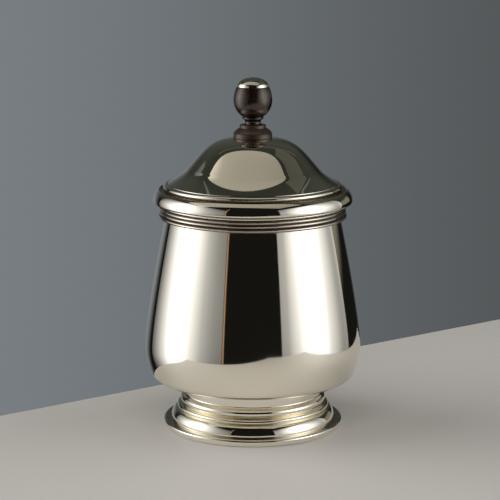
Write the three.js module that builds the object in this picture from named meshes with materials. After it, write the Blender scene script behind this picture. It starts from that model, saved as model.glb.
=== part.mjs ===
// Lidded sugar box: spun silver-plated vessel on a stepped foot, lift-off domed lid, turned wood knob.
// Millimetres, +Z up, axis of the vessel on the Z axis, foot standing on z = 0.

import * as THREE from "three";
import { mergeVertices } from "three/addons/utils/BufferGeometryUtils.js";

// Sheet thicknesses
const BODY_WALL = 0.9;
const FOOT_WALL = 0.9;
const LID_WALL = 0.8;
const BEZEL_WALL = 0.8;

// Foot, from the table up; each moulding stands out from the one above it
const NECK_RADIUS = 33.4;
const NECK_HEIGHT = 5.8;
const NECK_INSET = 0.2;
const NECK_FOOT_ANGLE = 87;
const NECK_FOOT_REACH = 2.6;
const NECK_TOP_ANGLE = 112;
const NECK_TOP_REACH = 1.2;
const NECK_FLANGE_WIDTH = 4.0;
const UPPER_STEP_PROJECTION = 2.2;
const UPPER_STEP_RADIUS = 2.25;
const UPPER_STEP_HEIGHT = 5.1;
const UPPER_STEP_SHELF = 0.55;
const UPPER_STEP_TOP_ANGLE = 72;
const LOWER_STEP_PROJECTION = 1.5;
const LOWER_STEP_RADIUS = 1.3;
const LOWER_STEP_HEIGHT = 2.5;
const STEP_FOOT_ANGLE = -58;
const STEP_CREASE_DEPTH = 0.3;
const BULGE_PROJECTION = 3.1;
const BULGE_HEIGHT = 5.3;
const BULGE_TOP_RADIUS = 2.0;
const BULGE_TOP_ANGLE = 41.5;
const FOOT_RING_PROJECTION = 3.7;
const FOOT_RING_HEIGHT = 3.3;
const FOOT_RING_ROLL = 1.15;
const FOOT_RING_UNDERCUT = 0.35;
const FOOT_RING_CHAMFER = 0.5;
const FOOT_SHELL_LIFT = 0.4;

// Vessel
const BELLY_RADIUS = 52.6;
const BELLY_HEIGHT = 17.5;
const KNUCKLE_RADIUS = 6.0;
const KNUCKLE_INSET = 8.0;
const KNUCKLE_SIDE_ANGLE = 19;
const BASE_FLAT_RADIUS = 33.9;
const BASE_RISE_ANGLE = 8;
const MOUTH_RADIUS = 42.4;
const VESSEL_HEIGHT = 86.2;
const SHOULDER_LEAN_ANGLE = 11.6;
const BELLY_FULLNESS = 8.3;
const SHOULDER_FULLNESS = 29.8;

// Reeded band round the mouth
const BAND_HEIGHT = 5.5;
const BAND_DEPTH = 1.9;
const REED_COUNT = 3;
const REED_DEPTH = 0.65;
const LOW_REED_DEPTH = 1.05;

// Lid
const LID_SIDE_CLEARANCE = 0.25;
const LID_SEAT_CLEARANCE = 0.3;
const BEZEL_DEPTH = 7.0;
const LIP_PROJECTION = 2.95;
const LIP_THICKNESS = 1.4;
const RIM_HEIGHT = 6.1;
const RIM_PROJECTION = 6.1;
const RIM_FACE_RADIUS = 6.7;
const RIM_TOP_RADIUS = 5.4;
const RIM_TOP_ANGLE = 35;
const RIM_CREST_ANGLE = 60;
const RIM_GROOVE_DRAFT = 0.35;
const RIM_FOOT_RADIUS = 1.2;
const BEAD_ACROSS = 1.6;
const BEAD_UP = 1.4;
const BEAD_INSET = 1.0;
const BEAD_MIDDLE = 1.6;
const BEAD_FOOT_ANGLE = -60;
const BEAD_TOP_ANGLE = 110;
const SKIRT_BEND = 2.0;
const FLARE_INSET = 1.61;
const FLARE_RISE = 3.2;
const FLARE_ANGLE = 29.5;
const FLARE_REACH = 8.6;
const SHOULDER_RADIUS = 31.1;
const SHOULDER_HEIGHT = 11.0;
const SHOULDER_ANGLE = 49;
const SHOULDER_LOW_REACH = 2.4;
const SHOULDER_HIGH_REACH = 11.0;
const CROWN_HEIGHT = 25.0;
const CROWN_MARGIN = 0.3;
const CROWN_REACH = 11.0;
const CROWN_SLOPE = 4;

// Wood knob
const KNOB_DISC_RADIUS = 9.3;
const KNOB_DISC_HEIGHT = 2.15;
const KNOB_GROOVE_DEPTH = 0.35;
const KNOB_GROOVE_HEIGHT = 0.5;
const KNOB_CONE_HEIGHT = 2.3;
const KNOB_CONE_INSET = 0.2;
const KNOB_CONE_FOOT_ANGLE = 125;
const KNOB_CONE_FOOT_REACH = 1.0;
const KNOB_CONE_TOP_ANGLE = 155;
const KNOB_CONE_TOP_REACH = 1.0;
const KNOB_LEDGE_RADIUS = 6.3;
const KNOB_LEDGE_HEIGHT = 1.45;
const KNOB_LEDGE_CHAMFER = 0.3;
const WAIST_RADIUS = 3.8;
const WAIST_HEIGHT = 2.6;
const WAIST_FLARE = 0.7;
const WAIST_REACH = 1.3;
const COLLAR_RADIUS = 5.15;
const COLLAR_HEIGHT = 1.4;
const BALL_RADIUS = 9.3;
const BALL_LOW_HEIGHT = 7.65;
const BALL_HIGH_HEIGHT = 6.55;
const BALL_NECK_RADIUS = 5.2;
const BALL_SEAT_RADIUS = 7.7;

// Cap and the fixing that holds the knob
const CAP_RADIUS = 7.6;
const CAP_HEIGHT = 4.4;
const ROD_RADIUS = 1.5;
const ROD_TAIL = 1.0;
const ROD_CHAMFER = 0.3;
const BORE_CLEARANCE = 0.2;
const THREAD_CLEARANCE = 0.06;
const CROWN_PLATE_RADIUS = 8.0;
const CROWN_PLATE_THICKNESS = 0.8;
const WASHER_RADIUS = 4.2;
const WASHER_THICKNESS = 0.6;
const NUT_ACROSS_FLATS = 5.5;
const NUT_HEIGHT = 2.4;

// Facets round each turned piece
const LARGE_SEGMENTS = 48;
const KNOB_SEGMENTS = 32;
const FIXING_SEGMENTS = 24;

// Heights of the joints between the pieces
const footRingTop = FOOT_RING_HEIGHT;
const bulgeTop = footRingTop + BULGE_HEIGHT;
const lowerStepTop = bulgeTop + LOWER_STEP_HEIGHT;
const upperStepTop = lowerStepTop + UPPER_STEP_HEIGHT;
const vesselBase = upperStepTop + NECK_HEIGHT;
const mouthTop = vesselBase + VESSEL_HEIGHT;
const lipBottom = mouthTop + LID_SEAT_CLEARANCE;
const lipTop = lipBottom + LIP_THICKNESS;
const rimTop = lipTop + RIM_HEIGHT;
const crownTop = rimTop + CROWN_HEIGHT;
const coneBottom = crownTop + KNOB_DISC_HEIGHT + KNOB_GROOVE_HEIGHT;
const coneTop = coneBottom + KNOB_CONE_HEIGHT;
const ledgeTop = coneTop + KNOB_LEDGE_HEIGHT;
const collarBottom = ledgeTop + WAIST_HEIGHT;
const ballBottom = collarBottom + COLLAR_HEIGHT;
const ballTop = ballBottom + BALL_LOW_HEIGHT + BALL_HIGH_HEIGHT;

// Radii shared by pieces that seat on each other
const upperStepRadius = NECK_RADIUS + UPPER_STEP_PROJECTION;
const lowerStepRadius = upperStepRadius + LOWER_STEP_PROJECTION;
const bulgeRadius = lowerStepRadius + BULGE_PROJECTION;
const footRingRadius = bulgeRadius + FOOT_RING_PROJECTION;
const mouthBore = MOUTH_RADIUS - BODY_WALL;
const bezelRadius = mouthBore - LID_SIDE_CLEARANCE;
const bezelBore = bezelRadius - BEZEL_WALL;
const skirtRadius = bezelRadius + LID_WALL;
const rodBore = ROD_RADIUS + BORE_CLEARANCE;
const crownRadius = KNOB_DISC_RADIUS + CROWN_MARGIN;

const silver = { color: 0xd9d6cd, roughness: 0.06, metalness: 1.0 };
const polishedWood = { color: 0x4a2418, roughness: 0.3, metalness: 0.0 };
const oiledWood = { color: 0x5d4032, roughness: 0.5, metalness: 0.0 };
const brass = { color: 0xb08d4f, roughness: 0.3, metalness: 1.0 };

function point(radius, height) {
  return new THREE.Vector2(radius, height);
}

function radians(degrees) {
  return THREE.MathUtils.degToRad(degrees);
}

// Points on an ellipse, its angles in degrees from straight outward
function ellipse(radius, height, across, up, from, to, steps) {
  const points = [];
  for (let i = 0; i <= steps; i += 1) {
    const angle = radians(from + ((to - from) * i) / steps);
    points.push(point(radius + across * Math.cos(angle), height + up * Math.sin(angle)));
  }
  return points;
}

function arc(radius, height, size, from, to, steps) {
  return ellipse(radius, height, size, size, from, to, steps);
}

// A smooth stretch between two points, leaving and arriving along the given directions
function sweep(start, startAngle, startReach, end, endAngle, endReach, steps) {
  const leave = point(Math.cos(radians(startAngle)), Math.sin(radians(startAngle)));
  const arrive = point(Math.cos(radians(endAngle)), Math.sin(radians(endAngle)));
  const curve = new THREE.CubicBezierCurve(
    start,
    start.clone().addScaledVector(leave, startReach),
    end.clone().addScaledVector(arrive, -endReach),
    end
  );
  return curve.getPoints(steps);
}

// The other face of a sheet: the same line moved to its left by the sheet's thickness
function otherFace(points, thickness) {
  return points.map((here, i) => {
    const before = points[Math.max(i - 1, 0)];
    const after = points[Math.min(i + 1, points.length - 1)];
    const along = after.clone().sub(before).normalize();
    return point(here.x - along.y * thickness, here.y + along.x * thickness);
  });
}

// A moulding's face: a wide curve up from its foot, then a tighter one over towards its top
function mouldedFace(outer, foot, faceRadius, angle, topRadius, topAngle) {
  const turn = radians(angle);
  const middle = point(
    outer - faceRadius + (faceRadius - topRadius) * Math.cos(turn),
    foot + (faceRadius - topRadius) * Math.sin(turn)
  );
  return [
    ...arc(outer - faceRadius, foot, faceRadius, 0, angle, 4),
    ...arc(middle.x, middle.y, topRadius, angle, topAngle, 4).slice(1),
  ];
}

function material(look) {
  return new THREE.MeshStandardMaterial(look);
}

// Joins the seam of a turned or extruded geometry and drops the triangles that close to nothing
function closeGeometry(geometry) {
  geometry.deleteAttribute("uv");
  geometry.deleteAttribute("normal");
  const joined = mergeVertices(geometry, 1e-4);
  const corners = joined.getIndex().array;
  const kept = [];
  for (let i = 0; i < corners.length; i += 3) {
    const [a, b, c] = [corners[i], corners[i + 1], corners[i + 2]];
    if (a !== b && b !== c && c !== a) {
      kept.push(a, b, c);
    }
  }
  joined.setIndex(kept);
  joined.computeVertexNormals();
  return joined;
}

// A piece turned on the Z axis; its outline runs anticlockwise, with radius to the right and height up
function turned(name, outline, segments, look) {
  const onAxis = outline[0].x === 0 && outline[outline.length - 1].x === 0;
  const loop = onAxis ? outline : [...outline, outline[0].clone()];
  const geometry = new THREE.LatheGeometry(loop, segments);
  geometry.rotateX(Math.PI / 2);
  const mesh = new THREE.Mesh(closeGeometry(geometry), material(look));
  mesh.name = name;
  return mesh;
}

function footRing() {
  const inner = bulgeRadius;
  const outer = footRingRadius;
  const outline = [
    point(inner, 0),
    point(outer - FOOT_RING_UNDERCUT - FOOT_RING_CHAMFER, 0),
    point(outer - FOOT_RING_UNDERCUT, FOOT_RING_CHAMFER),
    ...arc(outer - FOOT_RING_ROLL, footRingTop - FOOT_RING_ROLL, FOOT_RING_ROLL, 0, 90, 4),
    point(inner, footRingTop),
  ];
  return turned("foot_ring", outline, LARGE_SEGMENTS, silver);
}

function footShell() {
  const lowerCentre = lowerStepRadius - LOWER_STEP_RADIUS;
  const upperCentre = upperStepRadius - UPPER_STEP_RADIUS;
  const lowCrease = point(lowerStepRadius - STEP_CREASE_DEPTH, bulgeTop);
  const upperMiddle = upperStepTop - UPPER_STEP_SHELF - UPPER_STEP_RADIUS;
  const bulgeFace = BULGE_TOP_RADIUS + (BULGE_HEIGHT - BULGE_TOP_RADIUS) / Math.sin(radians(BULGE_TOP_ANGLE));
  const neckFoot = point(NECK_RADIUS, upperStepTop);
  const neckTop = point(NECK_RADIUS - NECK_INSET, vesselBase);
  const outer = [
    point(bulgeRadius, FOOT_SHELL_LIFT),
    ...mouldedFace(bulgeRadius, footRingTop, bulgeFace, BULGE_TOP_ANGLE, BULGE_TOP_RADIUS, 90),
    lowCrease,
    ...arc(lowerCentre, lowerStepTop - LOWER_STEP_RADIUS, LOWER_STEP_RADIUS, STEP_FOOT_ANGLE, 90, 5),
    ...arc(upperCentre, upperMiddle, UPPER_STEP_RADIUS, STEP_FOOT_ANGLE, UPPER_STEP_TOP_ANGLE, 6),
    ...sweep(neckFoot, NECK_FOOT_ANGLE, NECK_FOOT_REACH, neckTop, NECK_TOP_ANGLE, NECK_TOP_REACH, 5),
  ];
  const inner = [
    point(neckTop.x - NECK_FLANGE_WIDTH, vesselBase),
    point(neckTop.x - NECK_FLANGE_WIDTH, vesselBase - FOOT_WALL),
    point(NECK_RADIUS - FOOT_WALL, vesselBase - FOOT_WALL),
    point(NECK_RADIUS - FOOT_WALL, upperStepTop - FOOT_WALL),
    point(upperCentre - FOOT_WALL / 2, lowerStepTop),
    point(lowCrease.x - FOOT_WALL, bulgeTop - FOOT_WALL / 2),
    point(bulgeRadius - BULGE_TOP_RADIUS, bulgeTop - BULGE_TOP_RADIUS),
    point(bulgeRadius - FOOT_WALL, footRingTop),
    point(bulgeRadius - FOOT_WALL, FOOT_SHELL_LIFT),
  ];
  return turned("foot_shell", [...outer, ...inner], LARGE_SEGMENTS, silver);
}

function vesselOutside() {
  const knuckle = BELLY_RADIUS - KNUCKLE_INSET;
  const lowest = knuckle + KNUCKLE_RADIUS * Math.sin(radians(BASE_RISE_ANGLE));
  const rise = (lowest - BASE_FLAT_RADIUS) * Math.tan(radians(BASE_RISE_ANGLE));
  const knuckleHeight = vesselBase + rise + KNUCKLE_RADIUS * Math.cos(radians(BASE_RISE_ANGLE));
  const round = arc(knuckle, knuckleHeight, KNUCKLE_RADIUS, BASE_RISE_ANGLE - 90, -KNUCKLE_SIDE_ANGLE, 5);
  const side = round[round.length - 1];
  const belly = point(BELLY_RADIUS, vesselBase + BELLY_HEIGHT);
  const sideReach = side.distanceTo(belly) / 3;
  const bandFoot = point(MOUTH_RADIUS, mouthTop - BAND_HEIGHT);
  return [
    point(0, vesselBase),
    point(BASE_FLAT_RADIUS, vesselBase),
    ...round,
    ...sweep(side, 90 - KNUCKLE_SIDE_ANGLE, sideReach, belly, 90, sideReach, 4).slice(1),
    ...sweep(belly, 90, BELLY_FULLNESS, bandFoot, 90 + SHOULDER_LEAN_ANGLE, SHOULDER_FULLNESS, 9).slice(1),
  ];
}

function bodyShell() {
  const outside = vesselOutside();
  const inside = otherFace(outside, BODY_WALL);
  inside.pop();
  const lip = BODY_WALL / 3;
  const outline = [
    ...outside,
    point(MOUTH_RADIUS, mouthTop - lip),
    point(MOUTH_RADIUS - lip, mouthTop),
    point(mouthBore + lip, mouthTop),
    point(mouthBore, mouthTop - lip),
    point(mouthBore, mouthTop - BAND_HEIGHT),
    ...inside.reverse(),
  ];
  outline[outline.length - 1].x = 0;
  return turned("body_shell", outline, LARGE_SEGMENTS, silver);
}

function reededBand() {
  const foot = mouthTop - BAND_HEIGHT;
  const pitch = BAND_HEIGHT / REED_COUNT;
  const land = MOUTH_RADIUS + BAND_DEPTH;
  const outline = [
    point(MOUTH_RADIUS, foot),
    point(land, foot),
  ];
  for (let i = 0; i < REED_COUNT; i += 1) {
    const depth = i === 0 ? LOW_REED_DEPTH : REED_DEPTH;
    const middle = foot + pitch * (i + 0.5);
    outline.push(...ellipse(land, middle, depth, pitch / 2, -90, 90, 4).slice(1));
  }
  outline.push(point(MOUTH_RADIUS, mouthTop));
  return turned("reeded_band", outline, LARGE_SEGMENTS, silver);
}

function lidBezel() {
  const lipRadius = MOUTH_RADIUS + LIP_PROJECTION;
  const roll = LIP_THICKNESS / 2;
  const outline = [
    point(bezelBore, lipBottom - BEZEL_DEPTH),
    point(bezelRadius - BEZEL_WALL / 3, lipBottom - BEZEL_DEPTH),
    point(bezelRadius, lipBottom - BEZEL_DEPTH + BEZEL_WALL),
    point(bezelRadius, lipBottom),
    ...arc(lipRadius - roll, lipBottom + roll, roll, -90, 90, 4),
    point(bezelBore, lipTop),
  ];
  return turned("lid_bezel", outline, LARGE_SEGMENTS, silver);
}

function lidRim() {
  const outer = skirtRadius + RIM_PROJECTION;
  const faceFoot = lipTop + RIM_FOOT_RADIUS;
  const face = mouldedFace(outer, faceFoot, RIM_FACE_RADIUS, RIM_TOP_ANGLE, RIM_TOP_RADIUS, RIM_CREST_ANGLE);
  const outline = [
    point(skirtRadius, lipTop),
    ...arc(outer - RIM_FOOT_RADIUS, faceFoot, RIM_FOOT_RADIUS, -90, 0, 3),
    ...face.slice(1),
    point(face[face.length - 1].x - RIM_GROOVE_DRAFT, rimTop),
    point(skirtRadius, rimTop),
  ];
  return turned("lid_rim", outline, LARGE_SEGMENTS, silver);
}

// From the crease above the bead, over the flare and the shoulder, to the edge of the flat crown
function domeSlope() {
  const crease = point(skirtRadius - FLARE_INSET, rimTop + FLARE_RISE);
  const shoulder = point(SHOULDER_RADIUS, rimTop + SHOULDER_HEIGHT);
  const crown = point(crownRadius, crownTop);
  const flare = sweep(
    crease, 180 - FLARE_ANGLE, FLARE_REACH,
    shoulder, 180 - SHOULDER_ANGLE, SHOULDER_LOW_REACH, 6
  );
  const top = sweep(
    shoulder, 180 - SHOULDER_ANGLE, SHOULDER_HIGH_REACH,
    crown, 180 - CROWN_SLOPE, CROWN_REACH, 7
  );
  return [...flare, ...top.slice(1)];
}

function lidDome() {
  const slope = domeSlope();
  const inside = otherFace(slope, LID_WALL);
  inside.pop();
  const skirtBore = skirtRadius - LID_WALL;
  const beadCentre = skirtRadius - BEAD_INSET;
  const beadMiddle = rimTop + BEAD_MIDDLE;
  const outline = [
    point(skirtRadius, lipTop),
    point(skirtRadius, rimTop),
    point(beadCentre + BEAD_ACROSS * Math.cos(radians(BEAD_FOOT_ANGLE)), rimTop),
    ...ellipse(beadCentre, beadMiddle, BEAD_ACROSS, BEAD_UP, BEAD_FOOT_ANGLE, BEAD_TOP_ANGLE, 7),
    ...slope,
    point(rodBore, crownTop),
    point(rodBore, crownTop - LID_WALL),
    point(crownRadius, crownTop - LID_WALL),
    ...inside.reverse(),
    point(skirtBore, rimTop - SKIRT_BEND),
    point(skirtBore, lipTop),
  ];
  return turned("lid_dome", outline, LARGE_SEGMENTS, silver);
}

// A flat round piece with the rod's hole through it
function plate(name, radius, bore, bottom, thickness, segments, look) {
  const outline = [
    point(bore, bottom),
    point(radius, bottom),
    point(radius, bottom + thickness),
    point(bore, bottom + thickness),
  ];
  return turned(name, outline, segments, look);
}

function knobBase() {
  const discTop = crownTop + KNOB_DISC_HEIGHT;
  const grooveRadius = KNOB_DISC_RADIUS - KNOB_GROOVE_DEPTH;
  const coneFoot = point(KNOB_DISC_RADIUS - KNOB_CONE_INSET, coneBottom);
  const ledgeFoot = point(KNOB_LEDGE_RADIUS, coneTop);
  const outline = [
    point(rodBore, crownTop),
    point(KNOB_DISC_RADIUS, crownTop),
    point(KNOB_DISC_RADIUS, discTop),
    point(grooveRadius, discTop + KNOB_GROOVE_HEIGHT / 2),
    ...sweep(
      coneFoot, KNOB_CONE_FOOT_ANGLE, KNOB_CONE_FOOT_REACH,
      ledgeFoot, KNOB_CONE_TOP_ANGLE, KNOB_CONE_TOP_REACH, 5
    ),
    point(KNOB_LEDGE_RADIUS, ledgeTop - KNOB_LEDGE_CHAMFER),
    point(KNOB_LEDGE_RADIUS - KNOB_LEDGE_CHAMFER, ledgeTop),
    point(rodBore, ledgeTop),
  ];
  return turned("knob_base", outline, KNOB_SEGMENTS, oiledWood);
}

function knobBall() {
  const middle = ballBottom + BALL_LOW_HEIGHT;
  const lowReach = Math.acos(BALL_NECK_RADIUS / BALL_RADIUS);
  const highReach = Math.acos(BALL_SEAT_RADIUS / BALL_RADIUS);
  const low = BALL_LOW_HEIGHT / Math.sin(lowReach);
  const high = BALL_HIGH_HEIGHT / Math.sin(highReach);
  const lowAngle = THREE.MathUtils.radToDeg(lowReach);
  const highAngle = THREE.MathUtils.radToDeg(highReach);
  const outline = [
    point(rodBore, ledgeTop),
    ...sweep(
      point(WAIST_RADIUS + WAIST_FLARE, ledgeTop), 135, WAIST_REACH,
      point(WAIST_RADIUS + WAIST_FLARE, collarBottom), 45, WAIST_REACH, 5
    ),
    ...ellipse(
      WAIST_RADIUS + WAIST_FLARE, collarBottom + COLLAR_HEIGHT / 2,
      COLLAR_RADIUS - WAIST_RADIUS - WAIST_FLARE, COLLAR_HEIGHT / 2, -60, 60, 4
    ),
    ...ellipse(0, middle, BALL_RADIUS, low, -lowAngle, 0, 6),
    ...ellipse(0, middle, BALL_RADIUS, high, 0, highAngle, 4).slice(1),
    point(rodBore, ballTop),
  ];
  return turned("knob_ball", outline, KNOB_SEGMENTS, polishedWood);
}

function finialCap() {
  const outline = [
    point(0, ballTop),
    ...ellipse(0, ballTop, CAP_RADIUS, CAP_HEIGHT, 0, 90, 6),
  ];
  outline[outline.length - 1].x = 0;
  return turned("finial_cap", outline, KNOB_SEGMENTS, silver);
}

// Plate, washer and nut hang from the inside of the crown in this order
const plateBottom = crownTop - LID_WALL - CROWN_PLATE_THICKNESS;
const washerBottom = plateBottom - WASHER_THICKNESS;
const nutBottom = washerBottom - NUT_HEIGHT;

function finialRod() {
  const bottom = nutBottom - ROD_TAIL;
  const outline = [
    point(0, bottom),
    point(ROD_RADIUS - ROD_CHAMFER, bottom),
    point(ROD_RADIUS, bottom + ROD_CHAMFER),
    point(ROD_RADIUS, ballTop),
    point(0, ballTop),
  ];
  return turned("finial_rod", outline, FIXING_SEGMENTS, brass);
}

function finialNut() {
  const corner = NUT_ACROSS_FLATS / 2 / Math.cos(Math.PI / 6);
  const shape = new THREE.Shape();
  for (let i = 0; i < 6; i += 1) {
    const angle = (i * Math.PI) / 3;
    const place = point(corner * Math.cos(angle), corner * Math.sin(angle));
    if (i === 0) {
      shape.moveTo(place.x, place.y);
    } else {
      shape.lineTo(place.x, place.y);
    }
  }
  shape.closePath();
  const bore = new THREE.Path();
  bore.absarc(0, 0, ROD_RADIUS + THREAD_CLEARANCE, 0, Math.PI * 2, true);
  shape.holes.push(bore);
  const options = { depth: NUT_HEIGHT, bevelEnabled: false, curveSegments: FIXING_SEGMENTS };
  const geometry = closeGeometry(new THREE.ExtrudeGeometry(shape, options));
  const mesh = new THREE.Mesh(geometry, material(brass));
  mesh.name = "finial_nut";
  mesh.position.z = nutBottom;
  return mesh;
}

function vessel() {
  const group = new THREE.Group();
  group.add(footRing(), footShell(), bodyShell(), reededBand());
  return group;
}

function knob() {
  const group = new THREE.Group();
  group.add(knobBase(), knobBall(), finialCap(), finialRod());
  group.add(
    plate(
      "crown_plate", CROWN_PLATE_RADIUS, rodBore,
      plateBottom, CROWN_PLATE_THICKNESS, KNOB_SEGMENTS, silver
    ),
    plate(
      "finial_washer", WASHER_RADIUS, rodBore,
      washerBottom, WASHER_THICKNESS, FIXING_SEGMENTS, brass
    ),
    finialNut()
  );
  return group;
}

function lid() {
  const group = new THREE.Group();
  group.add(lidBezel(), lidRim(), lidDome(), knob());
  return group;
}

const sugarBox = new THREE.Group();
sugarBox.add(vessel(), lid());

export default sugarBox;
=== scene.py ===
"""A lidded sugar box: a spun, silver-plated vessel on a moulded foot, with a domed lid and a wood knob.

Every piece is turned about the upright axis from an outline drawn in millimetres. The outlines take the
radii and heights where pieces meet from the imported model, and stand in the same frame.
"""

import math
from collections import namedtuple

import bmesh
import bpy
from mathutils import Matrix, Vector
from mathutils.bvhtree import BVHTree


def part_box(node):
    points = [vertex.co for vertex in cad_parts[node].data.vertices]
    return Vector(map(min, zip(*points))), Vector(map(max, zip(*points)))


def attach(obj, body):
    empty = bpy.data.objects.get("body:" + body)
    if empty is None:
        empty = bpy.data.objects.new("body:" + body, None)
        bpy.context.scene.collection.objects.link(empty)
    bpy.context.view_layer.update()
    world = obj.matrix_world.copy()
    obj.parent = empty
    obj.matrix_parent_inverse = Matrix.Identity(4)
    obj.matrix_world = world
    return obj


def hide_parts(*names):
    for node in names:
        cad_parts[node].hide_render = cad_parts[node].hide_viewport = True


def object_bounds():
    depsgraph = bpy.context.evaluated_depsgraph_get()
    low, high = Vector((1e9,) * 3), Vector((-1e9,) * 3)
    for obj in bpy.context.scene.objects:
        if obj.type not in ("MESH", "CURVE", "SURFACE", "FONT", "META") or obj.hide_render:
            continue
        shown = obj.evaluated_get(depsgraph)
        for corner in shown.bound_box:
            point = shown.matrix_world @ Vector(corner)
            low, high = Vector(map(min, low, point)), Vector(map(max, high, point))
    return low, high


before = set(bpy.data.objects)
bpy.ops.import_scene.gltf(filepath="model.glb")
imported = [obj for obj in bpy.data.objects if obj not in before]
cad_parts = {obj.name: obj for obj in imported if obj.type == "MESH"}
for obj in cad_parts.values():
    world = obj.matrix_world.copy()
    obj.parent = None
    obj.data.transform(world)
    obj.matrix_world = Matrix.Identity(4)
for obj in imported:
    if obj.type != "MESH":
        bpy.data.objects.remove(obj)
cad_low, cad_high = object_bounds()

MM = 0.001
MIDDLE = (0.0, 0.0, 0.0)
UPRIGHT = (0.0, 0.0, 1.0)


def node_radius(node):
    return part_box(node)[1].x / MM


def node_bottom(node):
    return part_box(node)[0].z / MM


def node_top(node):
    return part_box(node)[1].z / MM


# Radii and heights where pieces meet, in millimetres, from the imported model
foot_ring_radius = node_radius("foot_ring")
foot_ring_top = node_top("foot_ring")
bulge_radius = node_radius("foot_shell")
foot_shell_bottom = node_bottom("foot_shell")
vessel_base = node_bottom("body_shell")
belly_radius = node_radius("body_shell")
mouth_top = node_top("body_shell")
band_bottom = node_bottom("reeded_band")
bezel_bottom = node_bottom("lid_bezel")
lip_radius = node_radius("lid_bezel")
lip_top = node_top("lid_bezel")
rim_radius = node_radius("lid_rim")
skirt_radius = node_radius("lid_dome")
crown_top = node_top("lid_dome")
disc_radius = node_radius("knob_base")
ledge_top = node_top("knob_base")
ball_radius = node_radius("knob_ball")
ball_top = node_top("knob_ball")
cap_radius = node_radius("finial_cap")
cap_top = node_top("finial_cap")
rod_radius = node_radius("finial_rod")
rod_bottom = node_bottom("finial_rod")

# Walls and clearances
BODY_WALL = 0.9
FOOT_WALL = 0.9
LID_WALL = 0.8
BEZEL_WALL = 0.8
BORE_CLEARANCE = 0.2
THREAD_CLEARANCE = 0.06

# Foot
NECK_RADIUS = 33.4
NECK_HEIGHT = 5.8
NECK_INSET = 0.2
NECK_FOOT_ANGLE = 87
NECK_FOOT_REACH = 2.6
NECK_TOP_ANGLE = 112
NECK_TOP_REACH = 1.2
NECK_FLANGE_WIDTH = 4.0
UPPER_STEP_PROJECTION = 2.2
UPPER_STEP_RADIUS = 2.25
UPPER_STEP_SHELF = 0.55
UPPER_STEP_TOP_ANGLE = 72
LOWER_STEP_PROJECTION = 1.5
LOWER_STEP_RADIUS = 1.3
LOWER_STEP_HEIGHT = 2.5
STEP_FOOT_ANGLE = -58
STEP_CREASE_DEPTH = 0.3
CREASE_FILLET = 0.45
BULGE_HEIGHT = 5.3
BULGE_TOP_RADIUS = 2.0
BULGE_TOP_ANGLE = 41.5
FOOT_RING_ROLL = 1.15
FOOT_RING_UNDERCUT = 0.35
# Patina with painted shade on top of the foot ring's roll and in its crease against the foot
FOOT_RING_TARNISH_AND_SHADE = 0.24
FOOT_RING_CREASE_TARNISH_AND_SHADE = 0.26

# Vessel
BELLY_HEIGHT = 17.5
KNUCKLE_RADIUS = 6.0
KNUCKLE_INSET = 8.0
KNUCKLE_SIDE_ANGLE = 19
BASE_FLAT_RADIUS = 33.9
BASE_RISE_ANGLE = 8
MOUTH_RADIUS = 42.4
SHOULDER_LEAN_ANGLE = 11.6
BELLY_FULLNESS = 8.3
SHOULDER_FULLNESS = 29.8

# Reeded band
BAND_DEPTH = 1.9
REED_COUNT = 3
REED_DEPTH = 0.65
LOW_REED_DEPTH = 1.05

# Lid
LIP_THICKNESS = 1.4
RIM_HEIGHT = 6.1
RIM_FACE_RADIUS = 6.7
RIM_TOP_RADIUS = 5.4
RIM_TOP_ANGLE = 35
RIM_CREST_ANGLE = 60
RIM_GROOVE_DRAFT = 0.35
RIM_FOOT_RADIUS = 1.2
RIM_FOOT_FADE = 1.2
RIM_CREST_EASE = 0.3
# Patina with painted shade in the groove between the rim and the dome's bead
GROOVE_TARNISH_AND_SHADE = 0.4
BEAD_ACROSS = 1.6
BEAD_UP = 1.4
BEAD_INSET = 1.0
BEAD_MIDDLE = 1.6
BEAD_FOOT_ANGLE = -60
BEAD_TOP_ANGLE = 110
SKIRT_BEND = 2.0
FLARE_INSET = 1.61
FLARE_RISE = 3.2
FLARE_ANGLE = 29.5
FLARE_REACH = 8.6
SHOULDER_RADIUS = 31.1
SHOULDER_HEIGHT = 11.0
SHOULDER_ANGLE = 49
SHOULDER_LOW_REACH = 2.4
SHOULDER_HIGH_REACH = 11.0
CROWN_MARGIN = 0.3
CROWN_SLOPE = 4
CROWN_REACH = 11.0

# Wood knob
KNOB_DISC_HEIGHT = 2.15
KNOB_GROOVE_DEPTH = 0.35
KNOB_GROOVE_HEIGHT = 0.5
KNOB_CONE_INSET = 0.2
KNOB_CONE_FOOT_ANGLE = 125
KNOB_CONE_FOOT_REACH = 1.0
KNOB_CONE_TOP_ANGLE = 155
KNOB_CONE_TOP_REACH = 1.0
KNOB_LEDGE_RADIUS = 6.3
KNOB_LEDGE_HEIGHT = 1.45
WAIST_RADIUS = 3.8
WAIST_HEIGHT = 2.6
WAIST_FLARE = 0.7
WAIST_REACH = 1.3
COLLAR_RADIUS = 5.15
COLLAR_HEIGHT = 1.4
BALL_LOW_HEIGHT = 7.65
BALL_NECK_RADIUS = 5.2
BALL_SEAT_RADIUS = 7.7

# Steps round each turned piece, and the longest straight stretch of an outline
LARGE_TURNS = 192
KNOB_TURNS = 128
FIXING_TURNS = 96
LONGEST_STRETCH = 0.8
BEND_STEPS = 6

# How far from a surface, in millimetres, its neighbours still close it in; closed-in places get patina with
# painted shade
RECESS_REACH = 3.0
RECESS_RAYS = 17
RECESS_SPREAD = 80

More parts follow.
